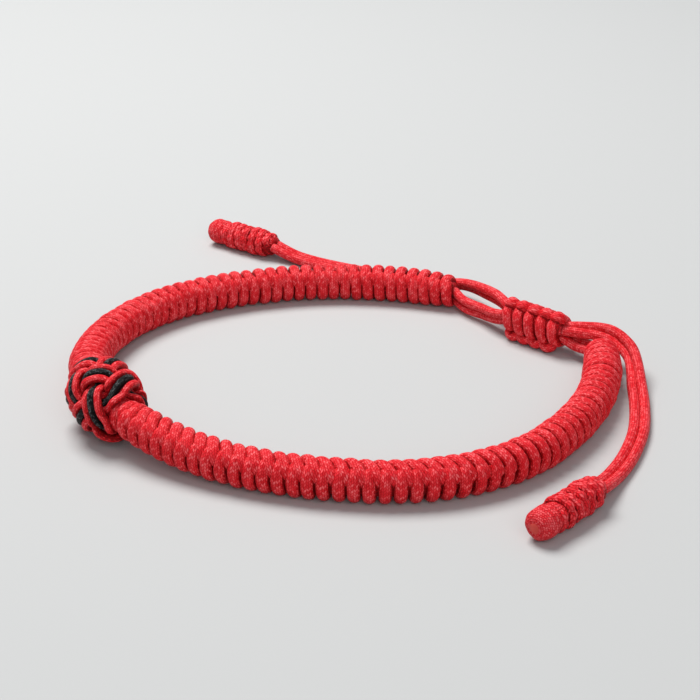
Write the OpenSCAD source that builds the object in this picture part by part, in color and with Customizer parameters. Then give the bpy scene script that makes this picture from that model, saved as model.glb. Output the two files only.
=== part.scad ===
// Adjustable knotted cord bracelet, lying open on a table, in millimetres with +Z up.
// The origin is on the table under the middle of the loop. The woven round knot is
// at -X, the near half of the band runs along -Y, and the sliding knot is at +X +Y.

/* [Band] */
// Thickness of the knotted band over its ribs
band_d = 5; // [4.6:0.1:5.2]
// Thickness of a band half at either of its ends
band_end_d = 4.2; // [3.8:0.1:4.4]
// Length over which a band half thins towards its end
band_taper = 6; // [3:0.5:10]
// Length of one rib along the middle of the band
rib_pitch = 1.65; // [1.45:0.05:2]
// Depth of the groove between two ribs
rib_depth = 0.4; // [0.2:0.05:0.5]
// How far a rib runs away from the round knot on the loop's outer side, and back on its inner
rib_lean = 0.8; // [0:0.1:1.5]
// Depth of the seam where upper and lower loops of cord meet
seam_depth = 0.2; // [0:0.05:0.3]
// Length of the near half, from the middle of the round knot
front_l = 88; // [80:1:88]
// Length of the far half, from the middle of the round knot
back_l = 77; // [72:1:77]

/* [Round knot] */
// Thickness of the woven round knot, level with the table
knot_w = 8.7; // [8.6:0.1:8.7]
// Thickness of the woven round knot, from the table up
knot_h = 9.3; // [9.2:0.1:9.6]
// Reach of the middle strand each way along the band
knot_reach = 4.7; // [4.7:0.1:4.9]
// Thickness of one strand of the round knot
strand_d = 0.74; // [0.66:0.02:0.74]
// Distance between neighbouring strands
strand_gap = 0.9; // [0.88:0.01:0.9]
// How far a strand rises or dips where it crosses the others
strand_wave = 0.64; // [0.62:0.01:0.66]
// Length over which the band comes down from the round knot to the table
rise_l = 13; // [13:1:16]

/* [Sliding knot] */
// Length of the sliding knot
slide_l = 9.2; // [8.6:0.1:10]
// Thickness of the sliding knot from its inner to its outer face
slide_w = 4.9; // [4.6:0.1:5.4]
// Height of the sliding knot over its edge beads
slide_h = 6; // [5.4:0.1:6.4]
// Turns of cord in the sliding knot
slide_turns = 5; // [4:1:6]
// Depth of the grooves between its turns
slide_groove = 0.35; // [0.2:0.05:0.4]

/* [Cords] */
// Thickness of the four cords
cord_d = 1.2; // [1.1:0.05:1.2]

/* [End knots] */
// Length of the wrapped knot at the end of a pair of cords
barrel_l = 12; // [11:0.1:14]
// Thickness of a wrapped end knot
barrel_d = 3.9; // [3.7:0.1:4.3]
// Relief of its weave
barrel_relief = 0.1; // [0:0.02:0.14]

/* [Hidden] */

RED = [0.86, 0.1, 0.15];
BLACK = [0.07, 0.06, 0.06];
UP = [0, 0, 1];

// Clearance between pieces that touch on the real bracelet
gap = 0.05;

// Middle of the round knot, and the heading of the band there towards its near half
KNOT_AT = [-28.55, -12];
KNOT_HEADING = 296;

// Bends of each half from the round knot outwards. A minus radius turns to the right.
LENGTH = 0;
RADIUS = 1;
FRONT_BENDS = [[10, 21], [28, 47], [22, 23.5], [28, 41.5]];
BACK_BENDS = [[8, -38], [13, -28], [20, -24], [24, -38], [12, -36]];

// Rings of one rib: place along it, and how deep in the groove
RIB_AT = 0;
RIB_DEEP = 1;
RIB_RINGS = [[0, 1], [0.28, 0], [0.72, 0]];
band_sides = 10;
// Length over which the lean of the ribs grows from a flat end of a band half
lean_fade = 3;
band_z = band_d / 2 * cos(180 / band_sides);

// The woven knot is a five-lead, four-bight Turk's head of three strands. Its middle
// lies at knot_s along the loop, it is turned by knot_turn, its crossings are drawn
// towards its middle by the share knot_draw, and its radius at its bights is knot_end_r.
LEADS = 5;
BIGHTS = 4;
knot_s = 0.3;
knot_turn = 70;
knot_draw = 0.16;
knot_end_r = 2.9;
strand_rings = 144;
strand_sides = 6;
core_half = 6.1;
core_end_r = knot_end_r - strand_wave - strand_d / 2 - 2 * gap;
core_mid_r = knot_w / 2 - strand_d - 2 * strand_wave - 3 * gap;

// Middle and heading of the sliding knot, and the bundle of four cords in its bore
SLIDE_AT = [24.95, 13.2];
SLIDE_HEADING = -41.5;
slide_z = slide_h / 2;
bundle_r = (cord_d + gap) / sqrt(2);
slide_sides = 16;
slide_rings = 4;
slide_bore_r = (bundle_r + cord_d / 2 + gap) / cos(180 / slide_sides);

// The bundle turns as it passes through: direction of each pair at the knot's far end,
// counted from the outer side upwards, and the turn to its near end
BACK_PAIR_AT = 210;
FRONT_PAIR_AT = 30;
BUNDLE_TURN = -110;
bundle_rings = 6;

// Routes of the middle of each pair of cords: x, y, z, and tilt of the pair,
// 0 where the first cord lies level on the left and 90 where it lies on top
TILT = 3;
BRIDGE_BACK = [[16.05, 22.7, 1.6, 100], [18.15, 20.2, 1.7, 108], [19.75, 17.6, 2.1, 116]];
BRIDGE_FRONT = [[29.85, 9, 1.9, 10], [31.35, 7.5, 2, 16]];
TAIL_FRONT = [[30.75, 8.9, 3.9, 25], [33.75, 7.4, 3.9, 50], [35.95, 4.1, 2.8, 62],
    [36.05, -1.2, 1.1, 25], [35.65, -7, 0.65, 0], [34.55, -13.6, 0.65, 0],
    [32.35, -20.2, 0.65, 0], [29.95, -25.2, 0.9, 0]];
TAIL_BACK = [[-7.45, 41.8, 1, 180], [-3.25, 39.5, 0.65, 180], [2.15, 36.6, 0.65, 180],
    [7.55, 33.6, 0.8, 176], [12.35, 31, 1.3, 162], [16.25, 28.1, 2.3, 142],
    [18.65, 23.9, 3.1, 122], [20.55, 19.8, 3.6, 115]];
// Height and tilt of a pair where it comes out of the end of its band half
GATE_BACK = [1.9, 95];
GATE_FRONT = [2.2, 20];
cord_sides = 8;

// Each end knot: x and y where the cords go in, and its heading
END_FRONT = [27.75, -29.6, 229];
END_BACK = [-10.45, 43.6, 144];
barrel_sides = 14;
barrel_rings = 20;
// Thickness along an end knot from the cords to the tip, as shares
BARREL_SHAPE = [[0, 0.74], [0.06, 0.9], [0.2, 0.97], [0.45, 1], [0.7, 1], [0.76, 0.93],
    [0.82, 1], [0.91, 0.97], [0.97, 0.82], [1, 0.6]];

// Place and heading after going d along a bend of radius r
function bent(from, d, r) =
    let(turn = from[2] + d / r * 180 / PI)
    [from.x + r * (sin(turn) - sin(from[2])), from.y - r * (cos(turn) - cos(from[2])), turn];

// Place and heading after going s along a table of bends
function along(from, bends, s, i = 0) =
    s <= bends[i][LENGTH] || i == len(bends) - 1
    ? bent(from, s, bends[i][RADIUS])
    : along(bent(from, bends[i][LENGTH], bends[i][RADIUS]), bends, s - bends[i][LENGTH], i + 1);

// Place and heading on the loop: s counts from the round knot, minus on the far half
function on_loop(s) =
    s >= 0
    ? along([KNOT_AT.x, KNOT_AT.y, KNOT_HEADING], FRONT_BENDS, s)
    : along([KNOT_AT.x, KNOT_AT.y, KNOT_HEADING + 180], BACK_BENDS, -s) - [0, 0, 180];

function forward(heading) = [cos(heading), sin(heading), 0];
function left(heading) = [-sin(heading), cos(heading), 0];

// Middle of the band, which the thicker round knot holds up
function loop_middle(s) =
    let(p = on_loop(s))
    [p.x, p.y, band_z + (knot_h / 2 - band_z) * exp(-pow(s / rise_l, 2))];

// One point beside the loop: a counts from the outer side upwards
function beside_loop(s, a, across, up) =
    loop_middle(s) - left(on_loop(s)[2]) * across * cos(a) + UP * up * sin(a);

function band_thickness(to_end) =
    let(share = min(1, to_end / band_taper))
    band_end_d + (band_d - band_end_d) * share * (2 - share);

// One ring of the band. Its lean fades out towards both flat ends.
function band_ring(s, deep, to_end) =
    let(lean = sign(s) * rib_lean * min(1, to_end / lean_fade))
    [for (j = [0:band_sides - 1])
        let(
            a = j * 360 / band_sides,
            seam = (j % (band_sides / 2) == 0) ? seam_depth : 0,
            r = band_thickness(to_end) / 2 - max(deep * rib_depth, seam)
        )
        beside_loop(s + lean * cos(a), a, r, r)];

function band_rings(from, to) =
    let(ribs = round((to - from) / rib_pitch), step = (to - from) / ribs)
    concat(
        [for (i = [0:ribs - 1], row = RIB_RINGS)
            let(s = from + (i + row[RIB_AT]) * step)
            band_ring(s, row[RIB_DEEP], min(s - from, to - s))],
        [band_ring(to, 1, 0)]
    );

// Faces of a tube of n rings with k points each, closed by flat ends or into a loop
function tube_sides(n, k, rounds) =
    [for (i = [0:rounds - 1], j = [0:k - 1], half = [0, 1])
        let(
            a = i * k + j,
            b = i * k + (j + 1) % k,
            c = (i + 1) % n * k + j,
            d = (i + 1) % n * k + (j + 1) % k
        )
        half == 0 ? [a, b, d] : [a, d, c]];
function tube_faces(n, k) =
    concat(tube_sides(n, k, n - 1), [[for (j = [k - 1:-1:0]) j], [for (j = [0:k - 1]) (n - 1) * k + j]]);

function flat_list(rings) = [for (ring = rings, point = ring) point];

// Solid through a list of rings
module skin(rings) {
    polyhedron(flat_list(rings), tube_faces(len(rings), len(rings[0])), convexity = 10);
}

function unit(v) = v / norm(v);

// A wave with broad crests, so that a strand stays up over all three that it crosses
function crest(q) = q * (3 - q * q) / 2;

// 1 where a strand lies over the others and -1 where it dips under them, at angle f
// of its path from bight to bight
function over_under(f) =
    let(from_bight = f - 180 * round(f / 180))
    abs(from_bight) < 180 / LEADS ? sin(from_bight * LEADS / 2) : -cos(LEADS * f) * sign(sin(f));

// Distance of the strands at s from the band's middle, halfway between over and under,
// in a round knot that is half as thick as given
function strand_level(half, s) =
    let(bulge = 1 - pow(min(1, abs(s - knot_s) / knot_reach), 2))
    knot_end_r + (half - strand_wave - strand_d / 2 - knot_end_r) * bulge;

// One point of the woven knot: u runs round the strand, side is -1, 0 or 1. Beside the
// middle strand, those that run slanting across are met early, or late where it is minus.
function weave(u, side) =
    let(
        f = BIGHTS * u,
        c = cos(f),
        middle_s = knot_s + knot_reach * c * (1 - knot_draw * (1 - c * c)),
        r = strand_level((knot_w + knot_h) / 4, middle_s),
        run = LEADS * r,
        rise = -BIGHTS * knot_reach * sin(f) * (1 - knot_draw * (1 - 3 * c * c)),
        shift = side * strand_gap / norm([run, rise]),
        a = knot_turn + LEADS * u - shift * rise / r * 180 / PI,
        s = middle_s + shift * run,
        early = 1.1 * shift * BIGHTS * (run * run - rise * rise) / run * rise / (rise * rise + 80),
        wave = strand_wave * crest(over_under(f + early * 180 / PI))
    )
    beside_loop(s, a, strand_level(knot_w / 2, s) + wave, strand_level(knot_h / 2, s) + wave);

function strand_ring(u, side) =
    let(
        step = 360 / strand_rings / 4,
        middle = weave(u, side),
        ahead = unit(weave(u + step, side) - weave(u - step, side)),
        out = unit(cross(ahead, cross(middle - loop_middle(knot_s + knot_reach * cos(BIGHTS * u)), ahead)))
    )
    [for (j = [0:strand_sides - 1])
        let(a = (j + 0.5) * 360 / strand_sides)
        middle + strand_d / 2 * (cos(a) * out + sin(a) * cross(out, ahead))];

module strand(side) {
    rings = [for (i = [0:strand_rings - 1]) strand_ring(i * 360 / strand_rings, side)];
    polyhedron(flat_list(rings), tube_sides(strand_rings, strand_sides, strand_rings), convexity = 10);
}

// A place in the sliding knot: t from 0 at its far end to 1 at its near end
function in_slide(t, across, up) =
    [SLIDE_AT.x, SLIDE_AT.y, slide_z] + forward(SLIDE_HEADING) * (t - 0.5) * slide_l
    + left(SLIDE_HEADING) * across + UP * up;

// Turns of cord round the bundle, with a bead at the top and bottom edge between them
function slide_ring(t) =
    let(turn = abs(sin(180 * t * slide_turns)), bead = abs(cos(180 * t * slide_turns)))
    [for (j = [0:slide_sides - 1])
        let(
            a = j * 360 / slide_sides,
            edge = pow(abs(sin(a)), 4),
            round_off = min(1, 0.8 + min(t, 1 - t) * slide_turns * 0.4),
            r = -slide_groove * ((1 - turn) * (1 - edge) + (1 - bead) * edge)
        )
        in_slide(t, -(slide_w / 2 * round_off + r) * cos(a), (slide_h / 2 * round_off + r) * sin(a))];

// Twist of the bundle: a point of the middle of a pair, and the pair's tilt
function in_bundle(t, pair_at) =
    let(a = pair_at + BUNDLE_TURN * t, off = bundle_r / sqrt(2))
    concat(in_slide(t, off * cos(a), off * sin(a)), [a + 90 - (pair_at > 180 ? 180 : 0)]);
function bundle_route(pair_at) = [for (i = [0:bundle_rings]) in_bundle(i / bundle_rings, pair_at)];

function place(row) = [row[0], row[1], row[2]];

// The way a route or line runs at point i. Its start and end have a set direction.
function ahead_at(route, i, first, last) =
    i == 0 ? first : i == len(route) - 1 ? last : unit(place(route[i + 1]) - place(route[i - 1]));

// Middle of one cord of a pair at each point of its route: side is 1 or -1
function cord_line(route, side, first, last) =
    [for (i = [0:len(route) - 1])
        let(
            ahead = ahead_at(route, i, first, last),
            heading = atan2(ahead.y, ahead.x),
            tilt = route[i][TILT]
        )
        place(route[i]) + side * bundle_r / sqrt(2) * (cos(tilt) * left(heading) + sin(tilt) * UP)];

// Points of a smooth curve through a line of points, two steps for each stretch
function between(a, b, c, d, t) =
    ((2 * b) + (c - a) * t + (2 * a - 5 * b + 4 * c - d) * t * t + (3 * b - a - 3 * c + d) * pow(t, 3)) / 2;
function smooth(line) =
    let(last = len(line) - 1)
    concat(
        [for (i = [0:last - 1], t = [0, 0.5])
            between(line[max(i - 1, 0)], line[i], line[i + 1], line[min(i + 2, last)], t)],
        [line[last]]
    );

// Cord through a line of points, with flat ends square to their directions
module cord(line, first, last) {
    skin([for (i = [0:len(line) - 1])
        let(ahead = ahead_at(line, i, first, last), side = unit(cross(ahead, UP)), up = cross(side, ahead))
        [for (j = [0:cord_sides - 1])
            let(a = (j + 0.5) * 360 / cord_sides)
            line[i] + cord_d / 2 * (cos(a) * side + sin(a) * up)]]);
}

// Where a pair of cords meets the end of a band half, gap away from it
function gate(s, at) = let(p = on_loop(s)) [p.x, p.y, at[0], at[1]];

// The cords that hold the band halves to the sliding knot, up to where they leave it
module bridge_back(side) {
    s = -back_l - gap;
    route = concat([gate(s, GATE_BACK)], BRIDGE_BACK, bundle_route(BACK_PAIR_AT));
    first = forward(on_loop(s)[2] + 180);
    last = forward(SLIDE_HEADING);
    cord(cord_line(route, side, first, last), first, last);
}
module bridge_front(side) {
    s = front_l + gap;
    route = concat(bundle_route(FRONT_PAIR_AT), BRIDGE_FRONT, [gate(s, GATE_FRONT)]);
    first = forward(SLIDE_HEADING);
    last = forward(on_loop(s)[2] + 180);
    cord(cord_line(route, side, first, last), first, last);
}

// Where the cords go into an end knot
function entry(end, tilt) = [end.x, end.y, barrel_d / 2, tilt];

// The free cords, from the sliding knot to an end knot
module tail_front(side) {
    route = concat([in_bundle(1 + gap / slide_l, BACK_PAIR_AT)], TAIL_FRONT, [entry(END_FRONT, 0)]);
    first = forward(SLIDE_HEADING);
    last = forward(END_FRONT[2]);
    cord(smooth(cord_line(route, side, first, last)), first, last);
}
module tail_back(side) {
    route = concat([entry(END_BACK, 180)], TAIL_BACK, [in_bundle(-gap / slide_l, FRONT_PAIR_AT)]);
    first = forward(END_BACK[2] + 180);
    last = forward(SLIDE_HEADING);
    cord(smooth(cord_line(route, side, first, last)), first, last);
}

// Wrapped end knot, from just past the end of its cords to its sealed tip
module end_knot(end) {
    rings = [for (i = [0:barrel_rings])
        let(t = i / barrel_rings, r = lookup(t, BARREL_SHAPE) * barrel_d / 2)
        [for (j = [0:barrel_sides - 1])
            let(
                a = j * 360 / barrel_sides,
                relief = (i + j) % 2 == 0 || i == 0 ? 0 : barrel_relief
            )
            [end.x, end.y, barrel_d / 2] + forward(end[2]) * (gap + t * barrel_l)
            + (r - relief) * (-cos(a) * left(end[2]) + sin(a) * UP)]];
    skin(rings);
}

module band_front() {
    color(RED) skin(band_rings(knot_s + core_half + gap, front_l));
}
module band_back() {
    color(RED) skin(band_rings(-back_l, knot_s - core_half - gap));
}
// The cords of the band where they pass through the round knot, with its inner turns
module knot_core() {
    steps = 12;
    color(RED) skin([for (i = [-steps:steps])
        let(r = core_end_r + (core_mid_r - core_end_r) * cos(90 * i / steps))
        [for (j = [0:band_sides - 1])
            beside_loop(knot_s + core_half * i / steps, j * 360 / band_sides, r, r)]]);
}
module knot_strand_inner() {
    color(RED) strand(-1);
}
module knot_strand_middle() {
    color(BLACK) strand(0);
}
module knot_strand_outer() {
    color(RED) strand(1);
}
module sliding_knot() {
    steps = slide_turns * slide_rings;
    color(RED) difference() {
        skin([for (i = [0:steps]) slide_ring(i / steps)]);
        skin([for (t = [-0.1, 1.1]) [for (j = [0:slide_sides - 1])
            let(a = j * 360 / slide_sides)
            in_slide(t, -slide_bore_r * cos(a), slide_bore_r * sin(a))]]);
    }
}
module bridge_back_upper() {
    color(RED) bridge_back(1);
}
module bridge_back_lower() {
    color(RED) bridge_back(-1);
}
module bridge_front_outer() {
    color(RED) bridge_front(1);
}
module bridge_front_inner() {
    color(RED) bridge_front(-1);
}
module tail_front_outer() {
    color(RED) tail_front(1);
}
module tail_front_inner() {
    color(RED) tail_front(-1);
}
module tail_back_upper() {
    color(RED) tail_back(1);
}
module tail_back_lower() {
    color(RED) tail_back(-1);
}
module end_knot_front() {
    color(RED) end_knot(END_FRONT);
}
module end_knot_back() {
    color(RED) end_knot(END_BACK);
}

band_front();
band_back();
knot_core();
knot_strand_inner();
knot_strand_middle();
knot_strand_outer();
sliding_knot();
bridge_back_upper();
bridge_back_lower();
bridge_front_outer();
bridge_front_inner();
tail_front_outer();
tail_front_inner();
tail_back_upper();
tail_back_lower();
end_knot_front();
end_knot_back();
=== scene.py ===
import math

import bpy
import numpy as np
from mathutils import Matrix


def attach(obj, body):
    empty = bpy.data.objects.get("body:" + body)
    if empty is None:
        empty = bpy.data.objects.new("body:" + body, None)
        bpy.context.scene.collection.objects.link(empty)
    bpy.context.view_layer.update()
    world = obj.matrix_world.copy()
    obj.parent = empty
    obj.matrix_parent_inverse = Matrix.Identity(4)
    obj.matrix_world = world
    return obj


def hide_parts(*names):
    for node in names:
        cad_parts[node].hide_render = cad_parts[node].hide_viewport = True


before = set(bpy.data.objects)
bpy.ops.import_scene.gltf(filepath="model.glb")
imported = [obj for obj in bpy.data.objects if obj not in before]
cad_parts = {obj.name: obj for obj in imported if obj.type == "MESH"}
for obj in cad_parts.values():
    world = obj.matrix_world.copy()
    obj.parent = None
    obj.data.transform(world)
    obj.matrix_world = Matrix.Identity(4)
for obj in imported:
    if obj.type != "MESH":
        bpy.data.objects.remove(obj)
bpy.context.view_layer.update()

MM = 0.001
UP = np.array([0.0, 0.0, 1.0])

# Sizes in millimetres and angles in degrees, as in the part's source
GAP = 0.05
BAND_D = 5.0
BAND_END_D = 4.2
BAND_TAPER = 6.0
BAND_Z = BAND_D / 2 * math.cos(math.pi / 10)
RIB_PITCH = 1.65
FRONT_L = 88.0
BACK_L = 77.0
CORE_HALF = 6.1
KNOT_W = 8.7
KNOT_H = 9.3
KNOT_REACH = 4.7
KNOT_S = 0.3
KNOT_TURN = 70.0
KNOT_DRAW = 0.16
LEADS = 5
BIGHTS = 4
STRAND_D = 0.74
STRAND_GAP = 0.9
STRAND_WAVE = 0.64
RISE_L = 13.0
SLIDE_L = 9.2
SLIDE_W = 4.9
SLIDE_H = 6.0
SLIDE_TURNS = 5
CORD_D = 1.2
BARREL_L = 12.0
BARREL_D = 3.9
KNOT_AT = (-28.55, -12.0)
KNOT_HEADING = 296.0
SLIDE_AT = (24.95, 13.2)
SLIDE_HEADING = -41.5
BUNDLE_R = (CORD_D + GAP) / math.sqrt(2)
BACK_PAIR_AT = 210
FRONT_PAIR_AT = 30
BUNDLE_TURN = -110
BUNDLE_STEPS = 6

# Bends of each half from the round knot outwards: length and radius, minus to the right
FRONT_BENDS = ((10, 21), (28, 47), (22, 23.5), (28, 41.5))
BACK_BENDS = ((8, -38), (13, -28), (20, -24), (24, -38), (12, -36))

# Routes of the middle of each pair of cords: x, y, z and tilt
BRIDGE_BACK = [(16.05, 22.7, 1.6, 100), (18.15, 20.2, 1.7, 108), (19.75, 17.6, 2.1, 116)]
BRIDGE_FRONT = [(29.85, 9, 1.9, 10), (31.35, 7.5, 2, 16)]
TAIL_FRONT = [(30.75, 8.9, 3.9, 25), (33.75, 7.4, 3.9, 50), (35.95, 4.1, 2.8, 62),
              (36.05, -1.2, 1.1, 25), (35.65, -7, 0.65, 0), (34.55, -13.6, 0.65, 0),
              (32.35, -20.2, 0.65, 0), (29.95, -25.2, 0.9, 0)]
TAIL_BACK = [(-7.45, 41.8, 1, 180), (-3.25, 39.5, 0.65, 180), (2.15, 36.6, 0.65, 180),
             (7.55, 33.6, 0.8, 176), (12.35, 31, 1.3, 162), (16.25, 28.1, 2.3, 142),
             (18.65, 23.9, 3.1, 122), (20.55, 19.8, 3.6, 115)]

# Height and tilt of a pair where it comes out of its band half
GATE_BACK = (1.9, 95)
GATE_FRONT = (2.2, 20)

# Each end knot: x and y where the cords go in, and its heading
END_FRONT = (27.75, -29.6, 229)
END_BACK = (-10.45, 43.6, 144)


# The camera of the photograph

camera_data = bpy.data.cameras.new("camera")
camera_data.sensor_width = 36
camera_data.lens = 95.9
camera_data.clip_start = 0.01
camera = bpy.data.objects.new("camera", camera_data)
bpy.context.scene.collection.objects.link(camera)
camera.location = (0.00045, -0.2103, 0.101)
camera.rotation_euler = (math.radians(65.5), 0, 0)
bpy.context.scene.camera = camera


# Places on the loop and in the clasp

def unit(v):
    return v / np.linalg.norm(v, axis=-1, keepdims=True)


def forward(heading):
    a = math.radians(heading)
    return np.array([math.cos(a), math.sin(a), 0.0])


def left(heading):
    a = math.radians(heading)
    return np.array([-math.sin(a), math.cos(a), 0.0])


def bent(x, y, heading, d, r):
    """Place and heading after going d along a bend of radius r."""
    turn = heading + math.degrees(d / r)
    a, b = math.radians(heading), math.radians(turn)
    return x + r * (math.sin(b) - math.sin(a)), y - r * (math.cos(b) - math.cos(a)), turn


def on_loop(s):
    """Place and heading of the loop at s from the round knot, minus on the far half."""
    bends, turned = (FRONT_BENDS, 0) if s >= 0 else (BACK_BENDS, 180)
    x, y, heading = *KNOT_AT, KNOT_HEADING + turned
    rest = abs(s)
    for i, (length, radius) in enumerate(bends):
        d = rest if i == len(bends) - 1 else min(rest, length)
        x, y, heading = bent(x, y, heading, d, radius)
        rest -= d
        if rest <= 0:
            break
    return x, y, heading - turned


def loop_frame(s):
    """Middle of the band at s, the way it runs, and its outer side."""
    x, y, heading = on_loop(s)
    z = BAND_Z + (KNOT_H / 2 - BAND_Z) * math.exp(-(s / RISE_L) ** 2)
    return np.array([x, y, z]), forward(heading), -left(heading)


def beside_loop(s, a, across, up):
    """A point beside the loop: a counts in degrees from the outer side upwards."""
    middle, _, outer = loop_frame(s)
    r = math.radians(a)
    return middle + outer * across * math.cos(r) + UP * up * math.sin(r)


def in_slide(t, across, up):
    """A place in the sliding knot: t from 0 at its far end to 1 at its near end."""
    middle = np.array([*SLIDE_AT, SLIDE_H / 2])
    along = forward(SLIDE_HEADING) * (t - 0.5) * SLIDE_L
    return middle + along + left(SLIDE_HEADING) * across + UP * up


def in_bundle(t, pair_at):
    """Middle and tilt of a pair of cords in the sliding knot, where the pairs twist."""
    a = pair_at + BUNDLE_TURN * t
    off = BUNDLE_R / math.sqrt(2)
    p = in_slide(t, off * math.cos(math.radians(a)), off * math.sin(math.radians(a)))
    return (*p, a + 90 - (180 if pair_at > 180 else 0))


def cord_line(route, side, first, last):
    """Middle of one cord of a pair along the pair's route: side is 1 or -1."""
    line = []
    for i, row in enumerate(route):
        if i == 0:
            ahead = first
        elif i == len(route) - 1:
            ahead = last
        else:
            ahead = np.subtract(route[i + 1][:3], route[i - 1][:3])
        heading = math.degrees(math.atan2(ahead[1], ahead[0]))
        tilt = math.radians(row[3])
        off = BUNDLE_R / math.sqrt(2) * (math.cos(tilt) * left(heading) + math.sin(tilt) * UP)
        line.append(np.array(row[:3], float) + side * off)
    return np.array(line)


def smooth(line, steps=2):
    """Catmull-Rom curve through a line of points."""
    out = []
    last = len(line) - 1
    for i in range(last):
        a, b, c, d = line[max(i - 1, 0)], line[i], line[i + 1], line[min(i + 2, last)]
        for k in range(steps):
            t = k / steps
            out.append((2 * b + (c - a) * t + (2 * a - 5 * b + 4 * c - d) * t * t
                        + (3 * b - a - 3 * c + d) * t ** 3) / 2)
    out.append(line[last])
    return np.array(out)


def squared(x, power):
    """A cosine or sine to a power with its sign kept: below 1 the section is squarer."""
    return np.sign(x) * abs(x) ** power


# Meshes

# Rings that round off the end of a tube, in degrees, and how far past it the map puts them
TIP_ANGLES = (35, 65, 88)
TIP_MAP = np.array([0.15, 0.35, 0.5])
# Share of a cord's height at which its side comes out of the groove and its painted shade ends
GROOVE_SHADE_SHARE = 0.8


class Mesh:
    """Collects tubes and skins in millimetres, with a map of the cord's surface."""

    def __init__(self):
        self.points, self.faces, self.maps, self.painted_shade_masks = [], [], [], []
        self.count = 0

    def skin(self, rings, u, v, closed=False, rise=1):
        """Rings of k points each, with the map's u of each ring and v of its k + 1 steps.

        rise is 0 where a point lies in a groove and 1 where it is outside; the material paints
        shade where it is below 1.
        """
        rings = np.asarray(rings)
        n, k = rings.shape[:2]
        base = self.count
        self.points.append(rings.reshape(-1, 3))
        self.painted_shade_masks.append(np.broadcast_to(rise, (n, k)).ravel())
        self.count += n * k
        for i in range(n if closed else n - 1):
            a, b = base + i * k, base + (i + 1) % n * k
            for j in range(k):
                w = (j + 1) % k
                self.faces.append((a + j, a + w, b + w, b + j))
                self.maps.append(((u[i], v[j]), (u[i], v[j + 1]),
                                  (u[i + 1], v[j + 1]), (u[i + 1], v[j])))
        if not closed:
            self.faces.append(tuple(base + j for j in range(k - 1, -1, -1)))
            self.maps.append(tuple((u[0], v[j]) for j in range(k - 1, -1, -1)))
            self.faces.append(tuple(base + (n - 1) * k + j for j in range(k)))
            self.maps.append(tuple((u[-1], v[j]) for j in range(k)))

    def tube(self, line, out, wide, thick, sides=12, closed=False, start=0.0, ends=True,
             square=1.0, painted_groove_shade=True):
        """Tube through a line of points, with its two ends rounded off where ends is set.

        Its thickness points along out, and its map begins at start. Where painted_groove_shade is
        set, its sides in the grooves between neighbours and its half away from out get painted
        shade.
        """
        line = np.asarray(line, float)
        n = len(line)
        if closed:
            ahead = unit(np.roll(line, -1, 0) - np.roll(line, 1, 0))
        else:
            ahead = unit(np.gradient(line, axis=0))
        out = np.broadcast_to(out, line.shape)
        out = unit(out - ahead * np.sum(out * ahead, 1, keepdims=True))
        side = np.cross(ahead, out)
        wide = np.broadcast_to(wide, n)
        thick = np.broadcast_to(thick, n)
        a = np.arange(sides) * 2 * math.pi / sides
        # Painted shade mask: 0 on the half away from out and in the grooves, rising to 1 outside
        # them
        rise = np.clip(np.sin(a) / GROOVE_SHADE_SHARE, 0, 1) if painted_groove_shade else 1
        across, up = squared(np.cos(a), square), squared(np.sin(a), square)
        rings = (line[:, None] + side[:, None] * (wide[:, None] / 2 * across)[:, :, None]
                 + out[:, None] * (thick[:, None] / 2 * up)[:, :, None])
        steps = np.linalg.norm(np.diff(line, axis=0), axis=1)
        u = start + np.concatenate([[0], np.cumsum(steps)])
        if closed:
            u = np.append(u, u[-1] + np.linalg.norm(line[0] - line[-1]))
        elif ends:
            tips = []
            for i, way in ((0, -ahead[0]), (-1, ahead[-1])):
                r = min(wide[i], thick[i]) / 2
                tips.append([line[i] + (rings[i] - line[i]) * math.cos(k) + way * r * math.sin(k)
                             for k in np.radians(TIP_ANGLES)])
            rings = np.concatenate([tips[0][::-1], rings, tips[1]])
            u = np.concatenate([u[0] - TIP_MAP[::-1], u, u[-1] + TIP_MAP])
        around = math.pi * (np.mean(wide) + np.mean(thick)) / 2
        self.skin(rings, u, np.linspace(0, around, sides + 1), closed, rise)

    def make(self, name, material, nodes=()):
        """Builds the piece, which takes the place of the solids at nodes."""
        me = bpy.data.meshes.new(name)
        points = np.concatenate(self.points) * MM
        # Cord is pressed flat where it rests on the table
        points[:, 2] = np.maximum(points[:, 2], 0)
        me.from_pydata(points.tolist(), [], self.faces)
        layer = me.uv_layers.new(name="cord")
        layer.data.foreach_set("uv", np.array([c for f in self.maps for c in f], float).ravel())
        # Painted shade mask, kept on the mesh for the material to darken the grooves
        painted_shade_masks = me.attributes.new("rise", "FLOAT", "POINT")
        painted_shade_masks.data.foreach_set("value", np.concatenate(self.painted_shade_masks))
        me.polygons.foreach_set("use_smooth", [True] * len(me.polygons))
        me.materials.append(material)
        me.update()
        piece = bpy.data.objects.new(name, me)
        bpy.context.scene.collection.objects.link(piece)
        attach(piece, "root")
        if nodes:
            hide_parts(*nodes)
        return piece


# Materials

# The braid: how far its stitches wander in millimetres, and in stitches how much they slant
# within a column and how far each column is shifted against the one before
WANDER = 0.2
SLANT = 0.6
STAGGER = 0.37
# Flatness of a stitch: the lower, the broader its top
STITCH_POWER = 0.6
# Scales of the noises: wandering along and across the cord, patches, and the lumps and
# spots of melted cord
ALONG_SCALE = 1100
ACROSS_SCALE = 700
PATCH_SCALE = 260
LUMP_SCALE = 900
SPOT_SCALE = 420
# Parts of a cord's tone: painted shade by the height of the stitch, patch, chance and the painted
# shade in a groove
STITCH_SHADE = 0.36
TONE_PATCH = 0.3
TONE_CHANCE = 0.35
TONE_BASE = -0.03
GROOVE_SHADE_DEPTH = 0.5
# Strength of a painted glint by chance, which leaves out about one stitch in three
GLINT_GAIN = 1.6
GLINT_BASE = -0.5
# How much the roughness differs between stitches
ROUGH_SPREAD = 0.2


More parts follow.
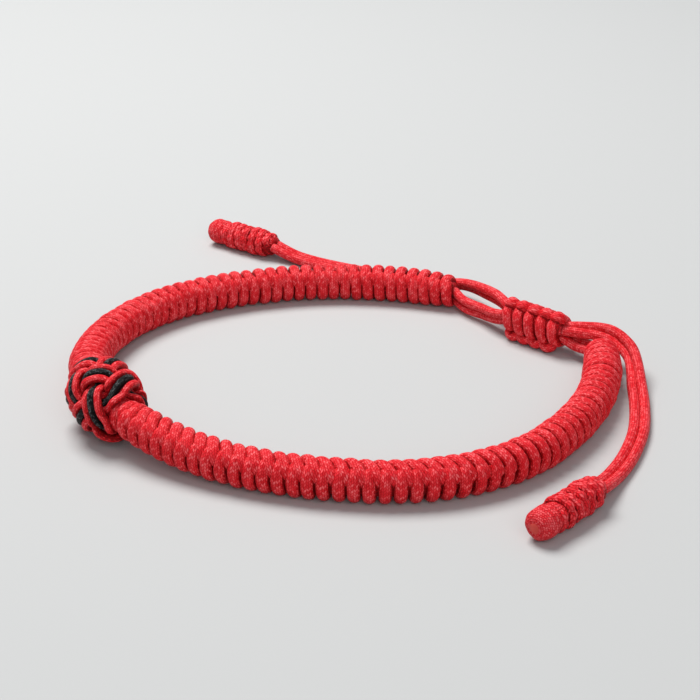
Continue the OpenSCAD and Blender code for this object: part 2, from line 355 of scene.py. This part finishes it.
def math_node(tree, operation, a, b=None, c=None):
    node = tree.nodes.new("ShaderNodeMath")
    node.operation = operation
    for i, value in enumerate((a, b, c)):
        if value is None:
            continue
        if isinstance(value, (int, float)):
            node.inputs[i].default_value = value
        else:
            tree.links.new(value, node.inputs[i])
    return node.outputs[0]


def ramp_node(tree, value, stops):
    node = tree.nodes.new("ShaderNodeValToRGB")
    tree.links.new(value, node.inputs[0])
    ramp = node.color_ramp
    while len(ramp.elements) < len(stops):
        ramp.elements.new(0.5)
    for element, (place, colour) in zip(ramp.elements, stops):
        element.position = place
        element.color = (*colour, 1)
    return node.outputs[0]


def noise_node(tree, vector, scale, detail=2.0):
    node = tree.nodes.new("ShaderNodeTexNoise")
    node.inputs["Scale"].default_value = scale
    node.inputs["Detail"].default_value = detail
    tree.links.new(vector, node.inputs["Vector"])
    return node.outputs["Fac"]


def new_material(name):
    """A material, its node tree, its shader and the place of a point in metres."""
    material = bpy.data.materials.new(name)
    material.use_nodes = True
    tree = material.node_tree
    place = tree.nodes.new("ShaderNodeTexCoord").outputs["Object"]
    return material, tree, tree.nodes["Principled BSDF"], place


def bump(tree, shader, height, depth):
    node = tree.nodes.new("ShaderNodeBump")
    node.inputs["Distance"].default_value = depth * MM
    tree.links.new(height, node.inputs["Height"])
    tree.links.new(node.outputs[0], shader.inputs["Normal"])


def cord_material(name, stops, glint, column=0.25, stitch=0.28, relief=0.05, rough=0.5):
    """Braided nylon: columns of slanting stitches along the cord, each a small satin float, with
    painted glints and painted shade.
    """
    material, tree, shader, place = new_material(name)
    uv = tree.nodes.new("ShaderNodeUVMap")
    uv.uv_map = "cord"
    split = tree.nodes.new("ShaderNodeSeparateXYZ")
    tree.links.new(uv.outputs[0], split.inputs[0])
    # The braid is uneven: its stitches wander along and across the cord
    along = math_node(tree, "MULTIPLY", noise_node(tree, place, ALONG_SCALE), WANDER)
    across = math_node(tree, "MULTIPLY", noise_node(tree, place, ACROSS_SCALE), WANDER)
    u = math_node(tree, "ADD", split.outputs[0], along)
    v = math_node(tree, "ADD", split.outputs[1], across)
    # The column of a point and the stitch in it, which slants the other way in every other
    col = math_node(tree, "DIVIDE", v, column)
    number = math_node(tree, "FLOOR", col)
    across = math_node(tree, "FRACT", col)
    odd = math_node(tree, "FLOORED_MODULO", number, 2)
    sign = math_node(tree, "MULTIPLY_ADD", odd, -2, 1)
    slant = math_node(tree, "MULTIPLY", math_node(tree, "SUBTRACT", across, 0.5), sign)
    row = math_node(tree, "MULTIPLY_ADD", slant, SLANT, math_node(tree, "DIVIDE", u, stitch))
    row = math_node(tree, "MULTIPLY_ADD", number, STAGGER, row)
    # Height of a stitch: 1 in its middle and 0 at its edges
    dx = math_node(tree, "MULTIPLY_ADD", across, 2, -1)
    dy = math_node(tree, "MULTIPLY_ADD", math_node(tree, "FRACT", row), 2, -1)
    hx = math_node(tree, "SUBTRACT", 1, math_node(tree, "MULTIPLY", dx, dx))
    hy = math_node(tree, "SUBTRACT", 1, math_node(tree, "MULTIPLY", dy, dy))
    height = math_node(tree, "POWER", math_node(tree, "MULTIPLY", hx, hy), STITCH_POWER)
    # Each stitch has its own tone
    which = tree.nodes.new("ShaderNodeCombineXYZ")
    tree.links.new(number, which.inputs[0])
    tree.links.new(math_node(tree, "FLOOR", row), which.inputs[1])
    white = tree.nodes.new("ShaderNodeTexWhiteNoise")
    white.noise_dimensions = "2D"
    tree.links.new(which.outputs[0], white.inputs["Vector"])
    chance = white.outputs["Value"]
    patch = math_node(tree, "MULTIPLY", noise_node(tree, place, PATCH_SCALE, 3), TONE_PATCH)
    # Painted shade: a stitch is lighter on its top and darker at its edges, where it meets the
    # next
    tone = math_node(tree, "MULTIPLY_ADD", height, STITCH_SHADE, patch)
    own = math_node(tree, "MULTIPLY_ADD", chance, TONE_CHANCE, TONE_BASE)
    tone = math_node(tree, "ADD", tone, own)
    # Painted shade: the sides that lie in a groove are darkened
    depth = tree.nodes.new("ShaderNodeAttribute")
    depth.attribute_name = "rise"
    rise = depth.outputs["Fac"]
    groove = math_node(tree, "MULTIPLY_ADD", rise, GROOVE_SHADE_DEPTH, -GROOVE_SHADE_DEPTH)
    colour = ramp_node(tree, math_node(tree, "ADD", tone, groove), stops)
    # Painted highlights: about two stitches in three get a painted glint on their tops, outside
    # the grooves
    painted_glint = math_node(tree, "MULTIPLY_ADD", chance, GLINT_GAIN, GLINT_BASE)
    painted_glint = math_node(tree, "MAXIMUM", painted_glint, 0)
    painted_glint = math_node(tree, "MULTIPLY", painted_glint, math_node(tree, "POWER", height, 2))
    painted_glint = math_node(tree, "MULTIPLY", painted_glint, rise)
    mix = tree.nodes.new("ShaderNodeMix")
    mix.data_type = "RGBA"
    tree.links.new(math_node(tree, "MULTIPLY", painted_glint, glint[3]), mix.inputs["Factor"])
    tree.links.new(colour, mix.inputs["A"])
    mix.inputs["B"].default_value = (*glint[:3], 1)
    tree.links.new(mix.outputs["Result"], shader.inputs["Base Color"])
    bump(tree, shader, height, relief)
    gloss = math_node(tree, "MULTIPLY_ADD", chance, ROUGH_SPREAD, rough - ROUGH_SPREAD / 2)
    tree.links.new(gloss, shader.inputs["Roughness"])
    shader.inputs["Sheen Weight"].default_value = 0.02
    shader.inputs["Sheen Roughness"].default_value = 0.4
    shader.inputs["Sheen Tint"].default_value = (1, 0.35, 0.35, 1)
    shader.inputs["Specular IOR Level"].default_value = 0.12
    return material


def melted_material(name):
    """The heat-sealed tip: cord fused to a smooth, uneven, glossier skin."""
    material, tree, shader, place = new_material(name)
    lumps = noise_node(tree, place, LUMP_SCALE, 3)
    spots = noise_node(tree, place, SPOT_SCALE)
    tone = math_node(tree, "MULTIPLY_ADD", lumps, 0.5, math_node(tree, "MULTIPLY", spots, 0.5))
    tree.links.new(ramp_node(tree, tone, MELTED_STOPS), shader.inputs["Base Color"])
    bump(tree, shader, lumps, 0.12)
    tree.links.new(math_node(tree, "MULTIPLY_ADD", spots, 0.3, 0.4), shader.inputs["Roughness"])
    shader.inputs["Specular IOR Level"].default_value = 0.2
    return material


# Colours by tone, from the painted shade of the grooves up, and the colour and strength of the
# painted glints
RED_STOPS = [(0.02, (0.24, 0.0005, 0.002)), (0.32, (0.68, 0.007, 0.013)),
             (0.58, (0.83, 0.026, 0.037)), (0.85, (0.93, 0.1, 0.115))]
BLACK_STOPS = [(0.2, (0.0005, 0.0005, 0.0005)), (0.55, (0.002, 0.0025, 0.0025)),
               (0.9, (0.009, 0.01, 0.01))]
MELTED_STOPS = [(0.3, (0.4, 0.02, 0.015)), (0.5, (0.6, 0.05, 0.04)), (0.72, (0.75, 0.09, 0.07))]
RED_GLINT = (1.0, 0.25, 0.25, 0.5)
COARSE_GLINT = (1.0, 0.22, 0.22, 0.42)
BLACK_GLINT = (0.22, 0.23, 0.23, 0.7)
red = cord_material("red_cord", RED_STOPS, RED_GLINT)
red_fine = cord_material("red_cord_fine", RED_STOPS, RED_GLINT, 0.28, 0.3, 0.06)
red_coarse = cord_material("red_cord_coarse", RED_STOPS, COARSE_GLINT, 0.34, 0.34, 0.09)
black = cord_material("black_cord", BLACK_STOPS, BLACK_GLINT, 0.22, 0.22, 0.06, 0.55)
melted = melted_material("melted_cord")


# The end knots, each cord wrapped round the pair of cords up to a groove before the tip

WRAP_TURNS = 6
WRAP_STEPS = 60
WRAP_START = 0.6
WRAP_WIDE = 1.38
WRAP_THICK = 0.9
# Where the middle of the wraps starts and ends, and how far it lies below their surface
WRAPS_FROM = 0.8
WRAPS_TO = 8.48
WRAP_DEPTH = 0.42
# Thickness of the wraps by either end of the end knot, as a share
WRAP_END = 0.88
# Waves along the wraps, each by size, how often it comes in a radian, and start: lumps where
# the wraps cross, change of their width, and swaying along the end knot
CROSSINGS = 8.6
WRAP_LUMPS = ((0.07, CROSSINGS, 1), (0.05, 2.3, 0))
WRAP_WIDENS = (0.14, CROSSINGS, 1.6)
WRAP_SWAYS = (0.12, 1.7, 0)
# Rings by distance along the end knot and radius: the pair inside, the cap and the seal
END_CORE = ((0.05, 1.25), (0.5, 1.5), (1.5, 1.55), (7, 1.55), (8.4, 1.6), (9, 1.7))
CAP = ((8.9, 1.5), (9.05, 1.76), (9.35, 1.88), (10.2, 1.9), (10.9, 1.86), (11.4, 1.68),
       (11.75, 1.3), (11.9, 0.9), (11.94, 0.5))
SEAL = ((11.6, 0.9), (11.8, 0.84), (11.9, 0.74), (11.97, 0.56), (12.01, 0.34), (12.02, 0.15))
CAP_R = 1.9
CAP_SIDES = 28
# What the map counts round a cap, the share of each kind of lump, and the room left for them
CAP_MAP = 12
CAP_LUMP = 0.03
CAP_ROOM = 0.06


def end_frame(end):
    """Where the cords go into an end knot, the way it runs, and its left side."""
    x, y, heading = end
    return np.array([x, y, BARREL_D / 2]), forward(heading), left(heading)


def end_tip(name, end, rows, material):
    """A lumpy round cap of rings: distance along the end knot and radius."""
    start, along, side = end_frame(end)
    rng = np.random.default_rng(7)
    a = np.arange(CAP_SIDES) * 2 * math.pi / CAP_SIDES
    rings = []
    for d, r in rows:
        lumps = CAP_LUMP * (np.sin(8 * a + d * 5) + np.sin(3 * a - d * 3.3))
        lumps = lumps + rng.uniform(-CAP_LUMP, CAP_LUMP, CAP_SIDES)
        radius = r * (1 + lumps) - CAP_ROOM
        rings.append(start + along * d + np.outer(radius * np.cos(a), side)
                     + np.outer(radius * np.sin(a), UP))
    mesh = Mesh()
    u = [d + CAP_R - r for d, r in rows]
    mesh.skin(np.array(rings)[:, ::-1], u, np.linspace(0, CAP_MAP, CAP_SIDES + 1))
    # The cord is wound round the tip, so its map is turned
    mesh.maps = [tuple((v, u) for u, v in face) for face in mesh.maps]
    piece = mesh.make(name, material)
    piece.modifiers.new("round", "SUBSURF").render_levels = 2
    return piece


def wavy(wave, a):
    """What a wave adds at angle a."""
    size, often, start = wave
    return size * math.sin(often * a + start)


def end_knot(name, end):
    """The three pieces of an end knot: wraps with the pair inside, cap and seal."""
    start, along, side = end_frame(end)
    count = WRAP_TURNS * WRAP_STEPS
    line, out, wide = [], [], []
    for i in range(count + 1):
        t = i / count
        a = 2 * math.pi * WRAP_TURNS * t + WRAP_START
        d = WRAPS_FROM + t * (WRAPS_TO - WRAPS_FROM) + wavy(WRAP_SWAYS, a)
        # The wraps grow thick over the first fifth and thin again before the groove
        share = WRAP_END + (1 - WRAP_END) * min(1, t * 5, (1 - t) * 8 + 0.4)
        lump = sum(wavy(wave, a) for wave in WRAP_LUMPS)
        spoke = math.cos(a) * side + math.sin(a) * UP
        line.append(start + along * d + spoke * (BARREL_D / 2 * share - WRAP_DEPTH + lump))
        out.append(spoke)
        wide.append(WRAP_WIDE + wavy(WRAP_WIDENS, a))
    wraps = Mesh()
    wraps.tube(line, out, wide, WRAP_THICK)
    core_d = [2 * r for d, r in END_CORE]
    wraps.tube([start + along * d for d, r in END_CORE], UP, core_d, core_d, 16, ends=False)
    return [wraps.make(name + "_wraps", red_coarse, (name,)),
            end_tip(name + "_cap", end, CAP, red_coarse),
            end_tip(name + "_seal", end, SEAL, melted)]


front_knot = end_knot("end_knot_front", END_FRONT)
back_knot = end_knot("end_knot_back", END_BACK)


# The free cords, each from its exit at the sliding knot

# Thickness as drawn, a little more than in the solids, which keep their gaps
TAIL_D = 1.3


def free_cord(name, route, side, first, last):
    line = smooth(cord_line(route, side, first, last))
    mesh = Mesh()
    mesh.tube(smooth(line, 4), UP, TAIL_D, TAIL_D, ends=False, painted_groove_shade=False)
    piece = mesh.make(name + "_cord", red_fine, (name,))


def entry(end, tilt):
    """Where a pair of cords goes into an end knot."""
    return (*end[:2], BARREL_D / 2, tilt)


into_slide = forward(SLIDE_HEADING)
into_front, from_back = forward(END_FRONT[2]), forward(END_BACK[2] + 180)
front_tail = [in_bundle(1 + GAP / SLIDE_L, BACK_PAIR_AT)] + TAIL_FRONT + [entry(END_FRONT, 0)]
back_tail = [entry(END_BACK, 180)] + TAIL_BACK + [in_bundle(-GAP / SLIDE_L, FRONT_PAIR_AT)]
free_cord("tail_front_outer", front_tail, 1, into_slide, into_front)
free_cord("tail_front_inner", front_tail, -1, into_slide, into_front)
free_cord("tail_back_upper", back_tail, 1, from_back, into_slide)
free_cord("tail_back_lower", back_tail, -1, from_back, into_slide)


# The bridge cords, through the sliding knot

def gate(s, at):
    """Where a pair of cords meets the end of a band half: at is its height and tilt."""
    x, y, _ = on_loop(s)
    return (x, y, *at)


def bridge(name, route, side, first, last):
    mesh = Mesh()
    line = smooth(cord_line(route, side, first, last), 5)
    mesh.tube(line, UP, CORD_D, CORD_D, ends=False, painted_groove_shade=False)
    mesh.make(name + "_cord", red_fine, (name,))


def bundle_route(pair_at):
    return [in_bundle(i / BUNDLE_STEPS, pair_at) for i in range(BUNDLE_STEPS + 1)]


back_gate, front_gate = -BACK_L - GAP, FRONT_L + GAP
out_of_back = forward(on_loop(back_gate)[2] + 180)
into_band = forward(on_loop(front_gate)[2] + 180)
back_bridge = [gate(back_gate, GATE_BACK)] + BRIDGE_BACK + bundle_route(BACK_PAIR_AT)
front_bridge = bundle_route(FRONT_PAIR_AT) + BRIDGE_FRONT + [gate(front_gate, GATE_FRONT)]
bridge("bridge_back_upper", back_bridge, 1, out_of_back, into_slide)
bridge("bridge_back_lower", back_bridge, -1, out_of_back, into_slide)
bridge("bridge_front_outer", front_bridge, 1, into_slide, into_band)
bridge("bridge_front_inner", front_bridge, -1, into_slide, into_band)


# The knotted band: an upper and a lower half loop of cord for each rib

LOOP_THICK = 1.4
LOOP_STEPS = 28
# How uneven the loops are in height, place and width, and how much thinner their ends are
LOOP_JITTER = 0.05
LOOP_THINS = 0.3
# How far the loops and the cords inside them lie below the band's surface
LOOP_SUNK = 0.02
INNER_SUNK = 0.85
# How far the cords inside end before the band half does
INNER_SHORT = 0.15
# How far a half loop goes on past the seam at either side, and over how much of it the loop
# grows to its full width, in degrees
LOOP_PAST = 24
LOOP_GROWS = 60
# How deep its two ends dip there, under the other loop's end and over it
TUCKED, LAPPED = 0.55, 0.1
# How far the loops start inside the round knot
LOOPS_IN_KNOT = 1.5
# The seam's place, in degrees from the outer side upwards: on the near half by the round
# knot and by the clasp, and on the far half
SEAM_KNOT = 42
SEAM_CLASP = 8
SEAM_BACK = -46
# Where on the near half the seam runs down and the loops straighten
SEAM_MOVES = (42, 60)
# How far the upper loops of the near half lean over from side to side, in ribs, and the
# length over which that fades out towards its ends
LEAN_RIBS = 2
LEAN_FADE = 6
# How far a half loop lies ahead of its rib's middle, in ribs, and the share of that which
# stays on the far half
LOOP_AHEAD = 0.25
AHEAD_BACK = 0.6
# The upper and lower half loops: way round, width at their ends and what is added between
# them, in ribs
LOOP_WIDTHS = ((1, 0.88, 0.05), (-1, 0.64, 0.28))


def band_radius(s, low, high):
    share = min(1, max(0, min(s - low, high - s)) / BAND_TAPER)
    return (BAND_END_D + (BAND_D - BAND_END_D) * share * (2 - share)) / 2


def step_up(s, low, high):
    """0 below low, 1 above high and smooth in between."""
    t = min(1, max(0, (s - low) / (high - low)))
    return t * t * (3 - 2 * t)


def band(name, low, high):
    mesh = Mesh()
    count = round((high - low) / RIB_PITCH)
    step = (high - low) / count
    near = low > 0
    rng = np.random.default_rng(3 if near else 4)
    for i in range(count):
        s = low + (i + 0.5) * step
        straight = step_up(s, *SEAM_MOVES) if near else 1
        seam_at = SEAM_KNOT + (SEAM_CLASP - SEAM_KNOT) * straight if near else SEAM_BACK
        ahead = LOOP_AHEAD * step * (1 - straight if near else AHEAD_BACK)
        lean = LEAN_RIBS * step * (1 - straight) * step_up(min(s - low, high - s), 0, LEAN_FADE)
        for turn, end_width, more_width in LOOP_WIDTHS:
            dr, ds, dw = rng.uniform(-LOOP_JITTER, LOOP_JITTER, 3)
            r = band_radius(s, low, high) - LOOP_THICK / 2 + dr - LOOP_SUNK
            line, out, wide, deep = [], [], [], []
            # b counts in degrees from the seam on the outer side to that on the inner side
            for b in np.linspace(-LOOP_PAST, 180 + LOOP_PAST, LOOP_STEPS + 1):
                a = seam_at + turn * b
                past = max(0, -b, b - 180) / LOOP_PAST
                radius = r - (TUCKED if (b < 0) == (turn == 1) else LAPPED) * past ** 1.5
                at = s + turn * ahead + ds - (lean * b / 180 if turn == 1 else 0)
                tip = step_up(min(b + LOOP_PAST, 180 + LOOP_PAST - b), 0, LOOP_GROWS)
                line.append(beside_loop(at, a, radius, radius))
                out.append(beside_loop(at, a, 1, 1) - beside_loop(at, a, 0, 0))
                wide.append(step * (end_width + more_width * tip) * (1 + dw))
                deep.append(LOOP_THICK * (1 - LOOP_THINS * past ** 2))
            mesh.tube(line, out, wide, deep, 14, start=rng.uniform(0, 9), square=0.95)
    # The carrying cords inside
    rows = np.linspace(low + INNER_SHORT, high - INNER_SHORT, 90)
    inner_d = [2 * (band_radius(s, low, high) - INNER_SUNK) for s in rows]
    mesh.tube([loop_frame(s)[0] for s in rows], UP, inner_d, inner_d, 16, ends=False)
    mesh.make(name + "_loops", red, (name,))


band("band_front", KNOT_S + CORE_HALF + GAP - LOOPS_IN_KNOT, FRONT_L)
band("band_back", -BACK_L, KNOT_S - CORE_HALF - GAP + LOOPS_IN_KNOT)


# The woven round knot: five leads and four bights of three cords side by side

# Thickness of a drawn cord, level and outwards, and steps round its closed line
WOVEN_WIDE = 1.0
WOVEN_THICK = 0.94
WOVEN_STEPS = 480
# Radius at the bights, less than in the solids, which need gaps between the strands, and
# the share of its length to which the knot is drawn in
KNOT_END_R = 2.45
KNOT_DRAWN_IN = 0.87
# How early the side strands meet those that run slanting across: its share, and what keeps
# it small where a strand runs straight round
EARLY_SHARE = 1.1
EARLY_SOFT = 80
# Radius of the band's cords inside the knot, at its ends and in its middle
CORE_END_R = 1.7
CORE_MID_R = 2.25


def crest(q):
    """A wave with broad crests, so that a strand stays up over all that it crosses."""
    return q * (3 - q * q) / 2


def over_under(f):
    """1 where a strand lies over the others and -1 where it dips under them."""
    from_bight = f - 180 * round(f / 180)
    if abs(from_bight) < 180 / LEADS:
        return math.sin(math.radians(from_bight * LEADS / 2))
    return -math.cos(math.radians(LEADS * f)) * np.sign(math.sin(math.radians(f)))


def strand_level(half, s):
    """Distance of the strands at s from the band's middle, in a knot half as thick as given."""
    bulge = 1 - min(1, abs(s - KNOT_S) / KNOT_REACH) ** 2
    return KNOT_END_R + (half - STRAND_WAVE - STRAND_D / 2 - KNOT_END_R) * bulge


def weave(u, side):
    """A point of a strand and the way outwards: u runs round it, and side is -1, 0 or 1."""
    f = BIGHTS * u
    c, sn = math.cos(math.radians(f)), math.sin(math.radians(f))
    middle_s = KNOT_S + KNOT_REACH * c * (1 - KNOT_DRAW * (1 - c * c))
    r = strand_level((KNOT_W + KNOT_H) / 4, middle_s)
    run = LEADS * r
    rise = -BIGHTS * KNOT_REACH * sn * (1 - KNOT_DRAW * (1 - 3 * c * c))
    shift = side * STRAND_GAP / math.hypot(run, rise)
    a = KNOT_TURN + LEADS * u - math.degrees(shift * rise / r)
    s = KNOT_S + KNOT_DRAWN_IN * (middle_s + shift * run - KNOT_S)
    early = shift * BIGHTS * (run * run - rise * rise) / run * rise / (rise * rise + EARLY_SOFT)
    wave = STRAND_WAVE * crest(over_under(f + EARLY_SHARE * math.degrees(early)))
    p = beside_loop(s, a, strand_level(KNOT_W / 2, s) + wave, strand_level(KNOT_H / 2, s) + wave)
    return p, p - loop_frame(middle_s)[0]


for name, side, material, slot in (("knot_strand_inner", -1, red_fine, "red_cord"),
                                   ("knot_strand_middle", 0, black, "black_cord"),
                                   ("knot_strand_outer", 1, red_fine, "red_cord")):
    line, out = zip(*[weave(u, side) for u in np.linspace(0, 360, WOVEN_STEPS, endpoint=False)])
    mesh = Mesh()
    mesh.tube(line, out, WOVEN_WIDE, WOVEN_THICK, closed=True)
    mesh.make(name + "_cord", material, (name,))

core = Mesh()
rows = np.linspace(-CORE_HALF, CORE_HALF, 25)
core_d = [2 * (CORE_END_R + (CORE_MID_R - CORE_END_R) * math.cos(math.radians(90 * s / CORE_HALF)))
          for s in rows]
core.tube([loop_frame(KNOT_S + s)[0] for s in rows], UP, core_d, core_d, 20, ends=False)
core.make("knot_core_cords", red, ("knot_core",))


# The sliding knot: turns of cord over the bundle, with beads along its edges

TURN_L = SLIDE_L / SLIDE_TURNS
TURN_WIDE = TURN_L * 0.84
TURN_THICK = 1.15
TURN_STEPS = 36
# How far the middle of a turn's cord lies inside the knot's faces and its height, and the
# share to which the first and last turn are drawn in
TURN_IN = 0.66
TURN_DOWN = 1.35
END_TURN = 0.92
# How far a turn slants along the knot, as a share of its length, and how square its path is
TURN_SLANT = 0.035
TURN_SQUARE = 0.75
# Beads where the turns cross: edge, place of the first, count, length, place across,
# width, and how far each faces the inner side of the loop and its edge
BEADS = ((1, 0.55, SLIDE_TURNS, 0.9, -0.8, 1.7, 0.5, 1),
         (-1, 0.9, SLIDE_TURNS - 1, 1.3, -1.35, 1.4, 1, 0.5))
BEAD_THICK = 1.35
BEAD_DOWN = 0.8

slide = Mesh()
rng = np.random.default_rng(5)
for j in range(SLIDE_TURNS):
    t = (j + 0.5) / SLIDE_TURNS
    scale = END_TURN if j in (0, SLIDE_TURNS - 1) else 1
    dt, dr = rng.uniform(-0.012, 0.012), rng.uniform(-0.08, 0.04)
    line, out = [], []
    for k in range(TURN_STEPS):
        a = 2 * math.pi * k / TURN_STEPS
        c, sn = math.cos(a), math.sin(a)
        across = (SLIDE_W / 2 * scale - TURN_IN + dr) * squared(c, TURN_SQUARE)
        up = (SLIDE_H / 2 * scale - TURN_DOWN + dr) * squared(sn, TURN_SQUARE)
        line.append(in_slide(t + dt - TURN_SLANT * sn, -across, up))
        out.append(-c * left(SLIDE_HEADING) + sn * UP)
    slide.tube(line, out, TURN_WIDE, TURN_THICK, 14, closed=True, start=j * 2.7, square=0.9)
for edge, first, count, length, across, wide, inwards, outwards in BEADS:
    # The side of a bead away from where it faces gets the painted groove shade
    facing = -left(SLIDE_HEADING) * inwards + edge * UP * outwards
    for j in range(count):
        t = (j + first) / SLIDE_TURNS
        line = [in_slide(t + w * length / SLIDE_L, across + w * w,
                         edge * (SLIDE_H / 2 - BEAD_DOWN - w * w))
                for w in np.linspace(-0.5, 0.5, 9)]
        slide.tube(line, facing, wide, BEAD_THICK, 14, start=j * 1.9)
# What the turns are wound on
line = [in_slide(t, 0, 0) for t in (0.03, 0.1, 0.5, 0.9, 0.97)]
slide.tube(line, UP, SLIDE_W - 1.5, SLIDE_H - 2.2, 20, ends=False, square=0.85)
slide.make("sliding_knot_turns", red, ("sliding_knot",))


# Floor and light

FLOOR_HALF = 2
FLOOR_COLOUR = (0.5, 0.5, 0.49, 1)
SKY_COLOUR = (0.86, 0.92, 1, 1)
SKY_STRENGTH = 0.3
# Round lamps that face the origin: name, place, size and power
LAMPS = (("key", (-0.15, 0.2, 0.5), 0.35, 3.9), ("front", (0.1, -0.5, 0.35), 0.5, 1.1))

me = bpy.data.meshes.new("floor")
corners = [(x * FLOOR_HALF, y * FLOOR_HALF, 0) for x, y in ((-1, -1), (1, -1), (1, 1), (-1, 1))]
me.from_pydata(corners, [], [(0, 1, 2, 3)])
floor = bpy.data.objects.new("floor", me)
bpy.context.scene.collection.objects.link(floor)
floor_material = bpy.data.materials.new("floor")
floor_material.use_nodes = True
shader = floor_material.node_tree.nodes["Principled BSDF"]
shader.inputs["Base Color"].default_value = FLOOR_COLOUR
shader.inputs["Roughness"].default_value = 0.85
me.materials.append(floor_material)

world = bpy.data.worlds.new("studio")
world.use_nodes = True
sky = world.node_tree.nodes["Background"]
sky.inputs["Color"].default_value = SKY_COLOUR
sky.inputs["Strength"].default_value = SKY_STRENGTH
bpy.context.scene.world = world

for name, place, size, power in LAMPS:
    data = bpy.data.lights.new(name, "AREA")
    data.shape = "DISK"
    data.size = size
    data.energy = power
    lamp = bpy.data.objects.new(name, data)
    bpy.context.scene.collection.objects.link(lamp)
    lamp.location = place
    x, y, z = place
    lamp.rotation_euler = (math.acos(z / math.hypot(x, y, z)), 0, math.atan2(-y, -x) - math.pi / 2)

view = bpy.context.scene.view_settings
view.view_transform = "Standard"
view.look = "None"
